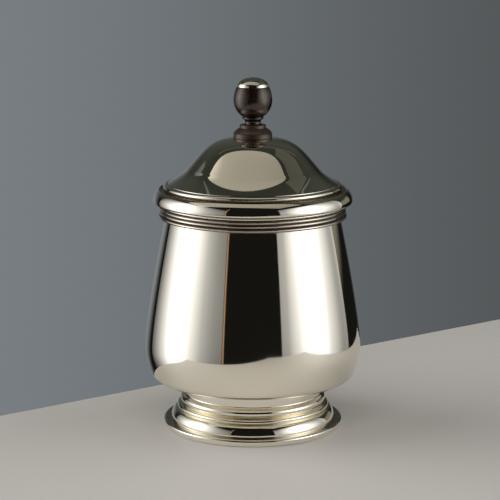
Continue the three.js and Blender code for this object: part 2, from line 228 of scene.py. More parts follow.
# Radii and heights that follow from those
upper_step_reach = NECK_RADIUS + UPPER_STEP_PROJECTION
lower_step_reach = upper_step_reach + LOWER_STEP_PROJECTION
bulge_top = foot_ring_top + BULGE_HEIGHT
lower_step_top = bulge_top + LOWER_STEP_HEIGHT
upper_step_top = vessel_base - NECK_HEIGHT
mouth_bore = MOUTH_RADIUS - BODY_WALL
mouth_ease = BODY_WALL / 2.2
lip_bottom = lip_top - LIP_THICKNESS
rim_top = lip_top + RIM_HEIGHT
bezel_radius = skirt_radius - LID_WALL
bezel_bore = bezel_radius - BEZEL_WALL
rod_bore = rod_radius + BORE_CLEARANCE
crown_radius = disc_radius + CROWN_MARGIN
collar_bottom = ledge_top + WAIST_HEIGHT
ball_bottom = collar_bottom + COLLAR_HEIGHT

# One place on an outline: how far its corner is eased, 1 where the metal is left satin, and its tarnish
# with painted shade
Spot = namedtuple("Spot", "radius height ease satin tarnish", defaults=(0.0, 0.0, 0.0))


def ellipse(radius, height, across, up, start, stop, steps=24):
    """Places on an ellipse, its angles in degrees from straight outward."""
    spots = []
    for i in range(steps + 1):
        angle = math.radians(start + (stop - start) * i / steps)
        spots.append(Spot(radius + across * math.cos(angle), height + up * math.sin(angle)))
    return spots


def arc(radius, height, size, start, stop, steps=24):
    return ellipse(radius, height, size, size, start, stop, steps)


def moulded_face(outer, foot, face_radius, angle, top_radius, top_angle):
    """A moulding's face: a wide curve up from its foot, then a tighter one over towards its top."""
    turn = math.radians(angle)
    reach = face_radius - top_radius
    middle = Spot(outer - face_radius + reach * math.cos(turn), foot + reach * math.sin(turn))
    return [
        *arc(outer - face_radius, foot, face_radius, 0, angle),
        *arc(middle.radius, middle.height, top_radius, angle, top_angle)[1:],
    ]


def sweep(start, start_angle, start_reach, end, end_angle, end_reach, steps=32):
    """A smooth stretch between two places, leaving and arriving along the given directions."""
    leave = Vector((math.cos(math.radians(start_angle)), math.sin(math.radians(start_angle))))
    arrive = Vector((math.cos(math.radians(end_angle)), math.sin(math.radians(end_angle))))
    a = Vector(start[:2])
    d = Vector(end[:2])
    b = a + leave * start_reach
    c = d - arrive * end_reach
    spots = []
    for i in range(steps + 1):
        t = i / steps
        s = 1 - t
        spots.append(Spot(*(a * s**3 + b * 3 * s * s * t + c * 3 * s * t * t + d * t**3)))
    return spots


def other_face(spots, thickness):
    """The other face of a sheet: the same line moved to its left by the sheet's thickness."""
    moved = []
    for i, here in enumerate(spots):
        before = Vector(spots[max(i - 1, 0)][:2])
        after = Vector(spots[min(i + 1, len(spots) - 1)][:2])
        along = (after - before).normalized()
        moved.append(Spot(here.radius - along.y * thickness, here.height + along.x * thickness))
    return moved


def satin(spots):
    return [spot._replace(satin=1.0) for spot in spots]


# Sets each place's patina with painted shade
def tarnished_and_shaded(spots, amounts):
    return [spot._replace(tarnish=amount) for spot, amount in zip(spots, amounts)]


def filleted(spots, ease):
    """The stretch with its first corner eased."""
    return [spots[0]._replace(ease=ease), *spots[1:]]


def cut_back(spots, corner, step, ease):
    """Walks from a corner along the outline for the ease's length.

    Returns the place reached and the spots passed.
    """
    passed = []
    here = Vector(spots[corner][:2])
    left = ease
    i = corner
    while True:
        i = (i + step) % len(spots)
        there = Vector(spots[i][:2])
        length = (there - here).length
        if length >= left:
            return here.lerp(there, left / length), passed
        left -= length
        here = there
        passed.append(i)


def eased(spots):
    """The outline with each corner that has an ease bent round over that length."""
    bends = {}
    dropped = set()
    for i, corner in enumerate(spots):
        if corner.ease > 0:
            a, passed_before = cut_back(spots, i, -1, corner.ease)
            b, passed_after = cut_back(spots, i, 1, corner.ease)
            tip = Vector(corner[:2])
            dropped.update(passed_before, passed_after)
            bends[i] = []
            for k in range(BEND_STEPS + 1):
                t = k / BEND_STEPS
                place = a * (1 - t) ** 2 + tip * 2 * t * (1 - t) + b * t * t
                bends[i].append(Spot(place.x, place.y, 0.0, corner.satin, corner.tarnish))
    finished = []
    for i, spot in enumerate(spots):
        if i in bends:
            finished.extend(bends[i])
        elif i not in dropped:
            finished.append(spot)
    return finished


def divided(spots, closed):
    """The outline with repeated places dropped and long stretches divided evenly."""
    finished = [spots[0]]
    for spot in spots[1:] + ([spots[0]] if closed else []):
        last = finished[-1]
        length = math.hypot(spot.radius - last.radius, spot.height - last.height)
        if length < 1e-4:
            continue
        pieces = math.ceil(length / LONGEST_STRETCH)
        for k in range(1, pieces + 1):
            t = k / pieces
            finished.append(
                Spot(
                    last.radius + (spot.radius - last.radius) * t,
                    last.height + (spot.height - last.height) * t,
                    0.0,
                    last.satin + (spot.satin - last.satin) * t,
                    last.tarnish + (spot.tarnish - last.tarnish) * t,
                )
            )
    if closed:
        finished.pop()
    return finished


def foot_ring_outline():
    roll = FOOT_RING_ROLL
    edge = arc(foot_ring_radius - roll, foot_ring_top - roll, roll, 0, 90)
    return [
        Spot(bulge_radius, 0, 0.2),
        Spot(foot_ring_radius - FOOT_RING_UNDERCUT, 0, 0.5),
        *edge[:-1],
        # Patina with painted shade over the top of the roll and into the crease
        edge[-1]._replace(tarnish=FOOT_RING_TARNISH_AND_SHADE),
        Spot(bulge_radius, foot_ring_top, tarnish=FOOT_RING_CREASE_TARNISH_AND_SHADE),
    ]


def foot_shell_outline():
    lower_centre = lower_step_reach - LOWER_STEP_RADIUS
    upper_centre = upper_step_reach - UPPER_STEP_RADIUS
    low_crease = Spot(lower_step_reach - STEP_CREASE_DEPTH, bulge_top)
    upper_middle = upper_step_top - UPPER_STEP_SHELF - UPPER_STEP_RADIUS
    bulge_rise = (BULGE_HEIGHT - BULGE_TOP_RADIUS) / math.sin(math.radians(BULGE_TOP_ANGLE))
    bulge_face = BULGE_TOP_RADIUS + bulge_rise
    lower_middle = lower_step_top - LOWER_STEP_RADIUS
    lower_step = arc(lower_centre, lower_middle, LOWER_STEP_RADIUS, STEP_FOOT_ANGLE, 90)
    upper_step = arc(upper_centre, upper_middle, UPPER_STEP_RADIUS, STEP_FOOT_ANGLE, UPPER_STEP_TOP_ANGLE)
    neck_foot = Spot(NECK_RADIUS, upper_step_top, CREASE_FILLET)
    neck_top = Spot(NECK_RADIUS - NECK_INSET, vessel_base)
    flange = neck_top.radius - NECK_FLANGE_WIDTH
    outer = [
        Spot(bulge_radius, foot_shell_bottom, 0.2),
        *moulded_face(bulge_radius, foot_ring_top, bulge_face, BULGE_TOP_ANGLE, BULGE_TOP_RADIUS, 90),
        low_crease,
        *filleted(lower_step, CREASE_FILLET),
        *filleted(upper_step, CREASE_FILLET),
        neck_foot,
        *sweep(neck_foot, NECK_FOOT_ANGLE, NECK_FOOT_REACH, neck_top, NECK_TOP_ANGLE, NECK_TOP_REACH)[1:],
    ]
    inner = [
        Spot(flange, vessel_base),
        Spot(flange, vessel_base - FOOT_WALL, 0.2),
        Spot(NECK_RADIUS - FOOT_WALL, vessel_base - FOOT_WALL, 0.4),
        Spot(NECK_RADIUS - FOOT_WALL, upper_step_top - FOOT_WALL, 0.5),
        Spot(upper_centre - FOOT_WALL / 2, lower_step_top, 0.5),
        Spot(low_crease.radius - FOOT_WALL, bulge_top - FOOT_WALL / 2, 0.5),
        Spot(bulge_radius - BULGE_TOP_RADIUS, bulge_top - BULGE_TOP_RADIUS, 0.8),
        Spot(bulge_radius - FOOT_WALL, foot_ring_top, 0.8),
        Spot(bulge_radius - FOOT_WALL, foot_shell_bottom, 0.2),
    ]
    return outer + satin(inner)


def vessel_outside():
    """From the middle of the base, round the knuckle and the belly, up to the foot of the reeded band."""
    knuckle = belly_radius - KNUCKLE_INSET
    rise_angle = math.radians(BASE_RISE_ANGLE)
    lowest = knuckle + KNUCKLE_RADIUS * math.sin(rise_angle)
    rise = (lowest - BASE_FLAT_RADIUS) * math.tan(rise_angle)
    knuckle_height = vessel_base + rise + KNUCKLE_RADIUS * math.cos(rise_angle)
    around = arc(knuckle, knuckle_height, KNUCKLE_RADIUS, BASE_RISE_ANGLE - 90, -KNUCKLE_SIDE_ANGLE)
    side = around[-1]
    belly = Spot(belly_radius, vessel_base + BELLY_HEIGHT)
    side_reach = math.hypot(belly.radius - side.radius, belly.height - side.height) / 3
    band_foot = Spot(MOUTH_RADIUS, band_bottom)
    lean = 90 + SHOULDER_LEAN_ANGLE
    return [
        Spot(0, vessel_base),
        Spot(BASE_FLAT_RADIUS, vessel_base),
        *around,
        *sweep(side, 90 - KNUCKLE_SIDE_ANGLE, side_reach, belly, 90, side_reach)[1:],
        *sweep(belly, 90, BELLY_FULLNESS, band_foot, lean, SHOULDER_FULLNESS, 80)[1:],
    ]


def body_shell_outline():
    outside = vessel_outside()
    inside = other_face(outside, BODY_WALL)
    inside.pop()
    inside.reverse()
    inside[-1] = Spot(0, vessel_base + BODY_WALL)
    return [
        *outside,
        Spot(MOUTH_RADIUS, mouth_top, mouth_ease),
        *satin([Spot(mouth_bore, mouth_top, mouth_ease), Spot(mouth_bore, band_bottom), *inside]),
    ]


def reeded_band_outline():
    pitch = (mouth_top - band_bottom) / REED_COUNT
    land = MOUTH_RADIUS + BAND_DEPTH
    outline = [Spot(MOUTH_RADIUS, band_bottom)]
    for i in range(REED_COUNT):
        depth = LOW_REED_DEPTH if i == 0 else REED_DEPTH
        middle = band_bottom + pitch * (i + 0.5)
        reed = ellipse(land, middle, depth, pitch / 2, -90, 90)
        # Patina with painted shade, deepening towards each reed's edges at the grooves
        outline += tarnished_and_shaded(reed, [abs(spot.height - middle) / (pitch / 2) for spot in reed])
    outline.append(Spot(MOUTH_RADIUS, mouth_top))
    return outline


def lid_bezel_outline():
    roll = LIP_THICKNESS / 2
    return [
        *satin([Spot(bezel_bore, bezel_bottom, 0.25), Spot(bezel_radius, bezel_bottom, 0.4)]),
        Spot(bezel_radius, lip_bottom, 0.2),
        *arc(lip_radius - roll, lip_bottom + roll, roll, -90, 90),
        *satin([Spot(bezel_bore, lip_top, 0.2)]),
    ]


def lid_rim_outline():
    face_foot = lip_top + RIM_FOOT_RADIUS
    face = moulded_face(
        rim_radius, face_foot, RIM_FACE_RADIUS,
        RIM_TOP_ANGLE, RIM_TOP_RADIUS, RIM_CREST_ANGLE,
    )
    face[-1] = face[-1]._replace(ease=RIM_CREST_EASE)
    foot = arc(rim_radius - RIM_FOOT_RADIUS, face_foot, RIM_FOOT_RADIUS, -90, 0)
    return [
        Spot(skirt_radius, lip_top),
        # Patina with painted shade, fading up from the groove at the rim's foot, and along the groove
        # behind its crest
        *tarnished_and_shaded(foot, [max(0.0, 1 - RIM_FOOT_FADE * i / (len(foot) - 1)) for i in range(len(foot))]),
        *face,
        Spot(face[-1].radius - RIM_GROOVE_DRAFT, rim_top, tarnish=GROOVE_TARNISH_AND_SHADE),
        Spot(skirt_radius, rim_top, tarnish=GROOVE_TARNISH_AND_SHADE),
    ]


def lid_dome_outline():
    crease = Spot(skirt_radius - FLARE_INSET, rim_top + FLARE_RISE)
    shoulder = Spot(SHOULDER_RADIUS, rim_top + SHOULDER_HEIGHT)
    crown = Spot(crown_radius, crown_top)
    slope = [
        *sweep(crease, 180 - FLARE_ANGLE, FLARE_REACH, shoulder, 180 - SHOULDER_ANGLE, SHOULDER_LOW_REACH),
        *sweep(
            shoulder, 180 - SHOULDER_ANGLE, SHOULDER_HIGH_REACH,
            crown, 180 - CROWN_SLOPE, CROWN_REACH, 48,
        )[1:],
    ]
    inside = other_face(slope, LID_WALL)
    inside.pop()
    inside.reverse()
    skirt_bore = skirt_radius - LID_WALL
    bead_centre = skirt_radius - BEAD_INSET
    bead_foot = bead_centre + BEAD_ACROSS * math.cos(math.radians(BEAD_FOOT_ANGLE))
    bead_middle = rim_top + BEAD_MIDDLE
    bead = ellipse(bead_centre, bead_middle, BEAD_ACROSS, BEAD_UP, BEAD_FOOT_ANGLE, BEAD_TOP_ANGLE, 40)
    bead_ends = [abs(2 * i / (len(bead) - 1) - 1) for i in range(len(bead))]
    return [
        Spot(skirt_radius, lip_top),
        # Patina with painted shade in the groove behind the rim and at both ends of the bead
        Spot(skirt_radius, rim_top, tarnish=GROOVE_TARNISH_AND_SHADE),
        Spot(bead_foot, rim_top, tarnish=GROOVE_TARNISH_AND_SHADE),
        *tarnished_and_shaded(bead, [GROOVE_TARNISH_AND_SHADE * max(0.0, 3 * end - 2) for end in bead_ends]),
        *slope,
        Spot(rod_bore, crown_top),
        *satin([
            Spot(rod_bore, crown_top - LID_WALL),
            Spot(crown_radius, crown_top - LID_WALL),
            *inside,
            Spot(skirt_bore, rim_top - SKIRT_BEND, 0.4),
            Spot(skirt_bore, lip_top),
        ]),
    ]


def knob_base_outline():
    disc_top = crown_top + KNOB_DISC_HEIGHT
    groove = disc_top + KNOB_GROOVE_HEIGHT / 2
    cone_foot = Spot(disc_radius - KNOB_CONE_INSET, disc_top + KNOB_GROOVE_HEIGHT)
    ledge_foot = Spot(KNOB_LEDGE_RADIUS, ledge_top - KNOB_LEDGE_HEIGHT)
    return [
        Spot(rod_bore, crown_top),
        Spot(disc_radius, crown_top, 0.35),
        Spot(disc_radius, disc_top, 0.12),
        Spot(disc_radius - KNOB_GROOVE_DEPTH, groove, 0.1),
        *sweep(
            cone_foot, KNOB_CONE_FOOT_ANGLE, KNOB_CONE_FOOT_REACH,
            ledge_foot, KNOB_CONE_TOP_ANGLE, KNOB_CONE_TOP_REACH,
        ),
        Spot(KNOB_LEDGE_RADIUS, ledge_top, 0.35),
        Spot(rod_bore, ledge_top),
    ]


def knob_ball_outline():
    middle = ball_bottom + BALL_LOW_HEIGHT
    low_angle = math.degrees(math.acos(BALL_NECK_RADIUS / ball_radius))
    high_angle = math.degrees(math.acos(BALL_SEAT_RADIUS / ball_radius))
    low = BALL_LOW_HEIGHT / math.sin(math.radians(low_angle))
    high = (ball_top - middle) / math.sin(math.radians(high_angle))
    waist = WAIST_RADIUS + WAIST_FLARE
    collar = COLLAR_HEIGHT / 2
    return [
        Spot(rod_bore, ledge_top),
        *sweep(Spot(waist, ledge_top), 135, WAIST_REACH, Spot(waist, collar_bottom), 45, WAIST_REACH),
        *ellipse(waist, collar_bottom + collar, COLLAR_RADIUS - waist, collar, -60, 60),
        *ellipse(0, middle, ball_radius, low, -low_angle, 0),
        *ellipse(0, middle, ball_radius, high, 0, high_angle)[1:],
        Spot(rod_bore, ball_top),
    ]


def finial_cap_outline():
    outline = [Spot(0, ball_top), *ellipse(0, ball_top, cap_radius, cap_top - ball_top, 0, 90, 36)]
    outline[-1] = Spot(0, cap_top)
    return outline


def finial_rod_outline():
    return [
        Spot(0, rod_bottom),
        Spot(rod_radius, rod_bottom, 0.3),
        Spot(rod_radius, ball_top),
        Spot(0, ball_top),
    ]


def plate_outline(node, bore, ease):
    """A flat round piece with the rod's hole through it, as high and wide as its node."""
    radius, bottom, top = node_radius(node), node_bottom(node), node_top(node)
    return [
        Spot(bore, bottom, ease),
        Spot(radius, bottom, ease),
        Spot(radius, top, ease),
        Spot(bore, top, ease),
    ]


def section_in(builder, spots, closed, layers):
    """The outline as vertices and edges in the upright plane through the axis."""
    vertices = []
    for i, spot in enumerate(spots):
        vertex = builder.verts.new((spot.radius * MM, 0, spot.height * MM))
        for layer, values in layers.items():
            vertex[layer] = values[i]
        vertices.append(vertex)
    pairs = list(zip(vertices, vertices[1:]))
    if closed:
        pairs.append((vertices[-1], vertices[0]))
    edges = [builder.edges.new(pair) for pair in pairs]
    return vertices, edges


def is_closed(spots):
    return not (spots[0].radius == 0 and spots[-1].radius == 0)


def finished_outline(spots):
    closed = is_closed(spots)
    return divided(eased(spots), closed)


def ribbon_tree(outlines):
    """Every outline drawn out into a narrow ribbon, to look from one surface to its neighbours."""
    half_width = 10 * MM
    builder = bmesh.new()
    for spots in outlines:
        section_in(builder, spots, is_closed(spots), {})
    bmesh.ops.translate(builder, verts=builder.verts, vec=(0, -half_width, 0))
    drawn = bmesh.ops.extrude_edge_only(builder, edges=builder.edges)
    moved = [part for part in drawn["geom"] if isinstance(part, bmesh.types.BMVert)]
    bmesh.ops.translate(builder, verts=moved, vec=(0, 2 * half_width, 0))
    tree = BVHTree.FromBMesh(builder)
    builder.free()
    return tree


def recess_values(spots, tree):
    """How closed in each place of an outline is: 0 in the open, towards 1 in the depth of a crease."""
    values = []
    reach = RECESS_REACH * MM
    closed = is_closed(spots)
    for i, spot in enumerate(spots):
        before = spots[i - 1] if closed or i > 0 else spots[i]
        after = spots[(i + 1) % len(spots)] if closed or i + 1 < len(spots) else spots[i]
        facing = math.atan2(before.radius - after.radius, after.height - before.height)
        blocked = 0.0
        whole = 0.0
        for k in range(RECESS_RAYS):
            lean = math.radians(RECESS_SPREAD * (2 * k / (RECESS_RAYS - 1) - 1))
            towards = Vector((math.cos(facing + lean), 0, math.sin(facing + lean)))
            start = Vector((spot.radius * MM, 0, spot.height * MM))
            start += Vector((math.cos(facing), 0, math.sin(facing))) * 0.002 * MM
            distance = tree.ray_cast(start, towards, reach)[3]
            whole += math.cos(lean)
            if distance is not None:
                blocked += math.cos(lean) * (1 - distance / reach)
        values.append(blocked / whole)
    return values


def turned(name, spots, recess, turns):
    """A piece spun about the upright axis from its outline."""
    builder = bmesh.new()
    recess_layer = builder.verts.layers.float.new("recess")
    satin_layer = builder.verts.layers.float.new("satin")
    tarnish_and_shade_layer = builder.verts.layers.float.new("tarnish")
    values = {
        recess_layer: recess,
        satin_layer: [spot.satin for spot in spots],
        tarnish_and_shade_layer: [spot.tarnish for spot in spots],
    }
    vertices, edges = section_in(builder, spots, is_closed(spots), values)
    bmesh.ops.spin(
        builder, geom=vertices + edges, cent=MIDDLE, axis=UPRIGHT, dvec=MIDDLE,
        angle=math.tau, steps=turns, use_merge=True, use_duplicate=False,
    )
    bmesh.ops.remove_doubles(builder, verts=builder.verts, dist=0.0005 * MM)
    bmesh.ops.recalc_face_normals(builder, faces=builder.faces)
    return piece_from(builder, name)


def piece_from(builder, name, smooth_angle=35):
    mesh = bpy.data.meshes.new(name)
    builder.to_mesh(mesh)
    builder.free()
    mesh.shade_smooth()
    mesh.set_sharp_from_angle(angle=math.radians(smooth_angle))
    piece = bpy.data.objects.new(name, mesh)
    bpy.context.scene.collection.objects.link(piece)
    return piece


def finial_nut(blank):
    """Cuts the six flats of the nut from its turned blank."""
    node = "finial_nut"
    flat = min(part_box(node)[1].x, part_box(node)[1].y)
    builder = bmesh.new()
    builder.from_mesh(blank.data)
    for k in range(6):
        angle = math.radians(60 * k + 30)
        outward = Vector((math.cos(angle), math.sin(angle), 0))
        cut = bmesh.ops.bisect_plane(
            builder, geom=list(builder.verts) + list(builder.edges) + list(builder.faces),
            dist=1e-7, plane_co=outward * flat, plane_no=outward, clear_outer=True,
        )
        rim = [part for part in cut["geom_cut"] if isinstance(part, bmesh.types.BMEdge)]
        bmesh.ops.edgenet_fill(builder, edges=rim)
    bmesh.ops.recalc_face_normals(builder, faces=builder.faces)
    builder.to_mesh(blank.data)
    builder.free()
    blank.data.shade_smooth()
    blank.data.set_sharp_from_angle(angle=math.radians(25))


class Value:
    """One output of a node; arithmetic on it adds Math nodes."""

    def __init__(self, paint, socket):
        self.paint = paint
        self.socket = socket

    def math(self, operation, *others):
        inputs = {0: self}
        for i, other in enumerate(others):
            inputs[i + 1] = other
        return self.paint.add("ShaderNodeMath", {"operation": operation}, inputs)

    def __add__(self, other):
        return self.math("ADD", other)

    __radd__ = __add__

    def __mul__(self, other):
        return self.math("MULTIPLY", other)

    __rmul__ = __mul__

    def __sub__(self, other):
        return self.math("SUBTRACT", other)

    def __rsub__(self, other):
        return self.paint.add("ShaderNodeMath", {"operation": "SUBTRACT"}, {0: other, 1: self})

    def __pow__(self, other):
        return self.math("POWER", other)


class Paint:
    """The node tree of one finish."""

    def __init__(self, owner):
        owner.use_nodes = True
        self.tree = owner.node_tree
        self.tree.nodes.clear()

    def add(self, kind, settings=None, inputs=None, output=0):
        node = self.tree.nodes.new(kind)
        for name, value in (settings or {}).items():
            if name == "stops":
                self.set_stops(node.color_ramp, value)
            else:
                setattr(node, name, value)
        for name, value in (inputs or {}).items():
            if isinstance(value, Value):
                self.tree.links.new(value.socket, node.inputs[name])
            else:
                node.inputs[name].default_value = value
        return Value(self, node.outputs[output]) if node.outputs else node

    def set_stops(self, ramp, stops):
        while len(ramp.elements) < len(stops):
            ramp.elements.new(1.0)
        for element, (position, colour) in zip(ramp.elements, stops):
            element.position = position
            element.color = (*colour, 1.0)

    def place(self, scale=(1, 1, 1), turn=(0, 0, 0), shift=(0, 0, 0)):
        """Where a point lies on the piece, in metres, turned and scaled for a pattern."""
        spot = self.add("ShaderNodeTexCoord", output="Object")
        inputs = {"Vector": spot, "Scale": scale, "Rotation": turn, "Location": shift}
        return self.add("ShaderNodeMapping", {"vector_type": "POINT"}, inputs)

    def noise(self, place, scale, detail=3.0, roughness=0.5, distortion=0.0):
        inputs = {
            "Vector": place, "Scale": scale, "Detail": detail,
            "Roughness": roughness, "Distortion": distortion,
        }
        return self.add("ShaderNodeTexNoise", {}, inputs)

    def attribute(self, name):
        return self.add("ShaderNodeAttribute", {"attribute_name": name}, output="Fac")

    def between(self, value, low, high):
        """0 below low, 1 above high, and a smooth rise from one to the other."""
        settings = {"interpolation_type": "SMOOTHSTEP"}
        return self.add("ShaderNodeMapRange", settings, {"Value": value, "From Min": low, "From Max": high})

    def mix(self, share, first, second, blend="MIX"):
        """The second colour over the first, by a share."""
        settings = {"data_type": "RGBA", "blend_type": blend}
        first = first if isinstance(first, Value) else (*first, 1.0)
        second = second if isinstance(second, Value) else (*second, 1.0)
        return self.add("ShaderNodeMix", settings, {0: share, 6: first, 7: second}, output=2)

    def bump(self, height, distance, normal=None):
        inputs = {"Height": height, "Distance": distance}
        if normal is not None:
            inputs["Normal"] = normal
        return self.add("ShaderNodeBump", {}, inputs)

    def surface(self, inputs):
        shader = self.add("ShaderNodeBsdfPrincipled", {}, inputs)
        self.add("ShaderNodeOutputMaterial", {}, {"Surface": shader})
        return shader


SILVER = (0.93, 0.885, 0.765)
# Yellowed patina with painted shade and warm reflection, for the closed-in creases
YELLOWED_AND_SHADED_SILVER = (0.88, 0.79, 0.55)
# Dark patina with painted shade, for the grooves
TARNISH_AND_SHADE = (0.13, 0.085, 0.052)
SATIN_SILVER = (0.85, 0.81, 0.71)


def silver_plate():
    """Hand-polished plate: nearly a mirror, warm and dull in the creases that a cloth doesn't reach, with
    patina there and painted shade and warm reflection over it.
    """
    material = bpy.data.materials.new("silver_plate_polished")
    paint = Paint(material)
    place = paint.place()
    recess = paint.attribute("recess")
    dull = paint.attribute("satin")
    cloud = paint.noise(place, 60.0, 4.0)
    blotch = paint.noise(place, 150.0, 3.0)
    # Painted shade and warm reflection, with yellowed patina, where neighbours close the surface in
    film_and_shade = paint.between(recess, 0.05, 0.6) * (0.8 + 0.2 * blotch)
    # Dark patina with painted shade in the grooves and creases marked on the outlines
    tarnish = paint.between(paint.attribute("tarnish"), 0.08, 0.4) * (0.8 + 0.2 * blotch)
    colour = paint.mix(dull * 0.8, SILVER, SATIN_SILVER)
    colour = paint.mix(film_and_shade * 0.95, colour, YELLOWED_AND_SHADED_SILVER)
    colour = paint.mix(tarnish * 0.95, colour, TARNISH_AND_SHADE)
    held = (film_and_shade * 0.22).math("MAXIMUM", tarnish * 0.3)
    roughness = 0.03 + 0.035 * cloud + held + 0.2 * dull
    planish = paint.bump(paint.noise(place, 34.0, 1.5, 0.4), 0.00006)
    rings = paint.noise(paint.place((1, 1, 900)), 1.0, 2.0)
    brushed = paint.bump(rings * (0.15 + dull), 0.000004, planish)
    paint.surface({
        "Base Color": colour,
        "Metallic": 1.0,
        "Roughness": roughness,
        "Normal": brushed,
    })
    return material


def turned_wood(name, dark, light, roughness, specular, ring_scale):
    """Close-grained wood turned with its grain upright: growth rings off centre, fine fibres and pores."""
    material = bpy.data.materials.new(name)
    paint = Paint(material)
    lean = (0.05, 0.08, 0.0)
    off_centre = (0.021, 0.013, 0.0)
    rings = paint.add(
        "ShaderNodeTexWave",
        {"wave_type": "RINGS", "rings_direction": "Z", "wave_profile": "SAW"},
        {
            "Vector": paint.place((1, 1, 0.25), lean, off_centre), "Scale": ring_scale,
            "Distortion": 3.5, "Detail": 3.0, "Detail Scale": 1.6, "Detail Roughness": 0.6,
        },
        output="Fac",
    )
    fibre = paint.noise(paint.place((1, 1, 0.07), lean), 1900.0, 3.0, 0.6)
    pore = paint.noise(paint.place((1, 1, 0.09), lean), 3400.0, 2.0)
    pores = paint.between(pore, 0.6, 0.68)
    recess = paint.attribute("recess")
    tone = paint.between(rings * 0.55 + fibre * 0.75, 0.3, 1.0)
    colour = paint.mix(tone, dark, light)
    colour = paint.mix(pores * 0.6, colour, tuple(c * 0.3 for c in dark))
    # Painted shade: the wood darkened where neighbours close it in, in its grooves and under its ledges
    colour = paint.mix(paint.between(recess, 0.1, 0.6) * 0.75, colour, tuple(c * 0.25 for c in dark))
    relief = fibre * 0.5 - pores * 0.8
    paint.surface({
        "Base Color": colour,
        "Roughness": roughness + 0.12 * fibre,
        "Specular IOR Level": specular,
        "Specular Tint": (1.0, 0.86, 0.74, 1.0),
        "Normal": paint.bump(relief, 0.00002),
    })
    return material


def turned_brass():
    material = bpy.data.materials.new("turned_brass")
    paint = Paint(material)
    rings = paint.noise(paint.place((1, 1, 9)), 700.0, 2.0)
    spots = paint.noise(paint.place(), 900.0, 4.0)
    colour = paint.mix(paint.between(spots, 0.45, 0.75), (0.74, 0.56, 0.27), (0.42, 0.27, 0.12))
    paint.surface({
        "Base Color": colour,
        "Metallic": 1.0,
        "Roughness": 0.22 + 0.2 * spots,
        "Normal": paint.bump(rings, 0.00001),
    })
    return material


silver = silver_plate()
BALL_DARK, BALL_LIGHT = (0.002, 0.0006, 0.0004), (0.01, 0.003, 0.002)
BASE_DARK, BASE_LIGHT = (0.006, 0.0035, 0.002), (0.035, 0.022, 0.015)
ball_wood = turned_wood("polished_dark_wood", BALL_DARK, BALL_LIGHT, 0.16, 1.0, 520.0)
base_wood = turned_wood("oiled_brown_wood", BASE_DARK, BASE_LIGHT, 0.26, 1.0, 700.0)
brass = turned_brass()

# Each turned piece: its outline, node, body, material slot, finish and steps round
Design = namedtuple("Design", "name outline node body slot finish turns")
thread_hole = rod_radius + THREAD_CLEARANCE
designs = [
    Design(
        "foot_applied_ring", foot_ring_outline(),
        "foot_ring", "box", "silver_plate", silver, LARGE_TURNS,
    ),
    Design(
        "foot_spun_moulding", foot_shell_outline(),
        "foot_shell", "box", "silver_plate", silver, LARGE_TURNS,
    ),
    Design(
        "vessel_spun_body", body_shell_outline(),
        "body_shell", "box", "silver_plate", silver, LARGE_TURNS,
    ),
    Design(
        "mouth_reeding", reeded_band_outline(),
        "reeded_band", "box", "silver_plate", silver, LARGE_TURNS,
    ),
    Design(
        "lid_seat_ring", lid_bezel_outline(),
        "lid_bezel", "lid", "silver_plate", silver, LARGE_TURNS,
    ),
    Design(
        "lid_half_round_rim", lid_rim_outline(),
        "lid_rim", "lid", "silver_plate", silver, LARGE_TURNS,
    ),
    Design(
        "lid_spun_dome", lid_dome_outline(),
        "lid_dome", "lid", "silver_plate", silver, LARGE_TURNS,
    ),
    Design(
        "knob_turned_base", knob_base_outline(),
        "knob_base", "lid", "oiled_wood", base_wood, KNOB_TURNS,
    ),
    Design(
        "knob_turned_ball", knob_ball_outline(),
        "knob_ball", "lid", "polished_wood", ball_wood, KNOB_TURNS,
    ),
    Design(
        "knob_domed_cap", finial_cap_outline(),
        "finial_cap", "lid", "silver_plate", silver, KNOB_TURNS,
    ),
    Design(
        "knob_threaded_rod", finial_rod_outline(),
        "finial_rod", "lid", "brass", brass, FIXING_TURNS,
    ),
    Design(
        "crown_stiffening_plate", plate_outline("crown_plate", rod_bore, 0.15),
        "crown_plate", "lid", "silver_plate", silver, KNOB_TURNS,
    ),
    Design(
        "knob_washer", plate_outline("finial_washer", rod_bore, 0.12),
        "finial_washer", "lid", "brass", brass, FIXING_TURNS,
    ),
    Design(
        "knob_nut", plate_outline("finial_nut", thread_hole, 0.3),
        "finial_nut", "lid", "brass", brass, FIXING_TURNS,
    ),
]


def make_pieces():
    outlines = {design.name: finished_outline(design.outline) for design in designs}
    tree = ribbon_tree(outlines.values())
    for design in designs:
        spots = outlines[design.name]
        piece = turned(design.name, spots, recess_values(spots, tree), design.turns)
        if design.node == "finial_nut":
            finial_nut(piece)
        piece.data.materials.append(design.finish)
        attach(piece, design.body)
        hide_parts(design.node)


make_pieces()

# Tabletop: its back edge runs aslant behind the box
TABLE_TURN = 37
TABLE_BACK = 84
TABLE_FRONT = -850
TABLE_LEFT = -325
TABLE_RIGHT = 270
TABLE_THICKNESS = 18
TABLE_COLOUR = (0.488, 0.466, 0.43)


